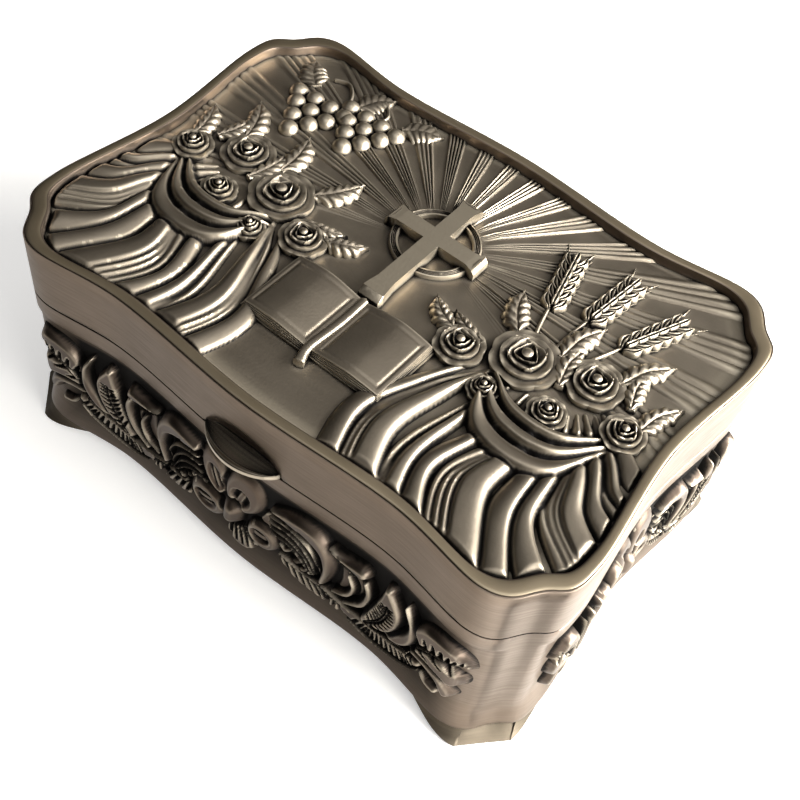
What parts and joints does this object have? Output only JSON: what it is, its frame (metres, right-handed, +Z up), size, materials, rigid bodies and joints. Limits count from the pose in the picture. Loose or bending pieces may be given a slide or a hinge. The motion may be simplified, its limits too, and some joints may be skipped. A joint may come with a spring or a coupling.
{
  "type": "rosary box",
  "caption": "Small hinged metal keepsake box for a rosary, with serpentine walls, applied leaf garlands, bracket feet, a relief plaque in the lid and a velvet lining.",
  "frame": {"origin": "middle of the box's bounding box, on the table it stands on", "axes": "+X along the box's length, +Y towards the hinge at the back, +Z up"},
  "size_m": [0.115, 0.0822, 0.0493],
  "materials": {
    "antique_pewter": "cast zinc alloy, satin brushed on flat bands, darkened in the recesses and polished on the highs",
    "sheet_pewter": "plain rolled sheet, dull",
    "steel": "drawn wire, bright",
    "velvet": "cotton velvet, short pile",
    "card": "grey board, uncoated"
  },
  "bodies": {
    "base": {"base_wall": "antique_pewter", "foot_front_left": "antique_pewter", "foot_front_right": "antique_pewter", "foot_back_left": "antique_pewter", "foot_back_right": "antique_pewter", "bottom_plate": "sheet_pewter", "garland_front": "antique_pewter", "garland_back": "antique_pewter", "garland_left": "antique_pewter", "garland_right": "antique_pewter", "floor_board": "card", "floor_velvet": "velvet", "wall_velvet": "velvet", "hinge_base_leaf": "antique_pewter", "hinge_base_rivets": "steel", "hinge_pin": "steel"},
    "lid": {"lid_frame": "antique_pewter", "lid_plaque": "antique_pewter", "thumb_lip": "antique_pewter", "lid_board": "card", "lid_velvet": "velvet", "hinge_lid_leaf": "antique_pewter", "hinge_lid_rivets": "steel"}
  },
  "joints": [
    {"name": "lid_hinge", "type": "hinge", "parent": "base", "child": "lid", "pos_m": [0, 0.03949, 0.0353], "axis": [-1, 0, 0], "range_deg": [0, 105]}
  ]
}
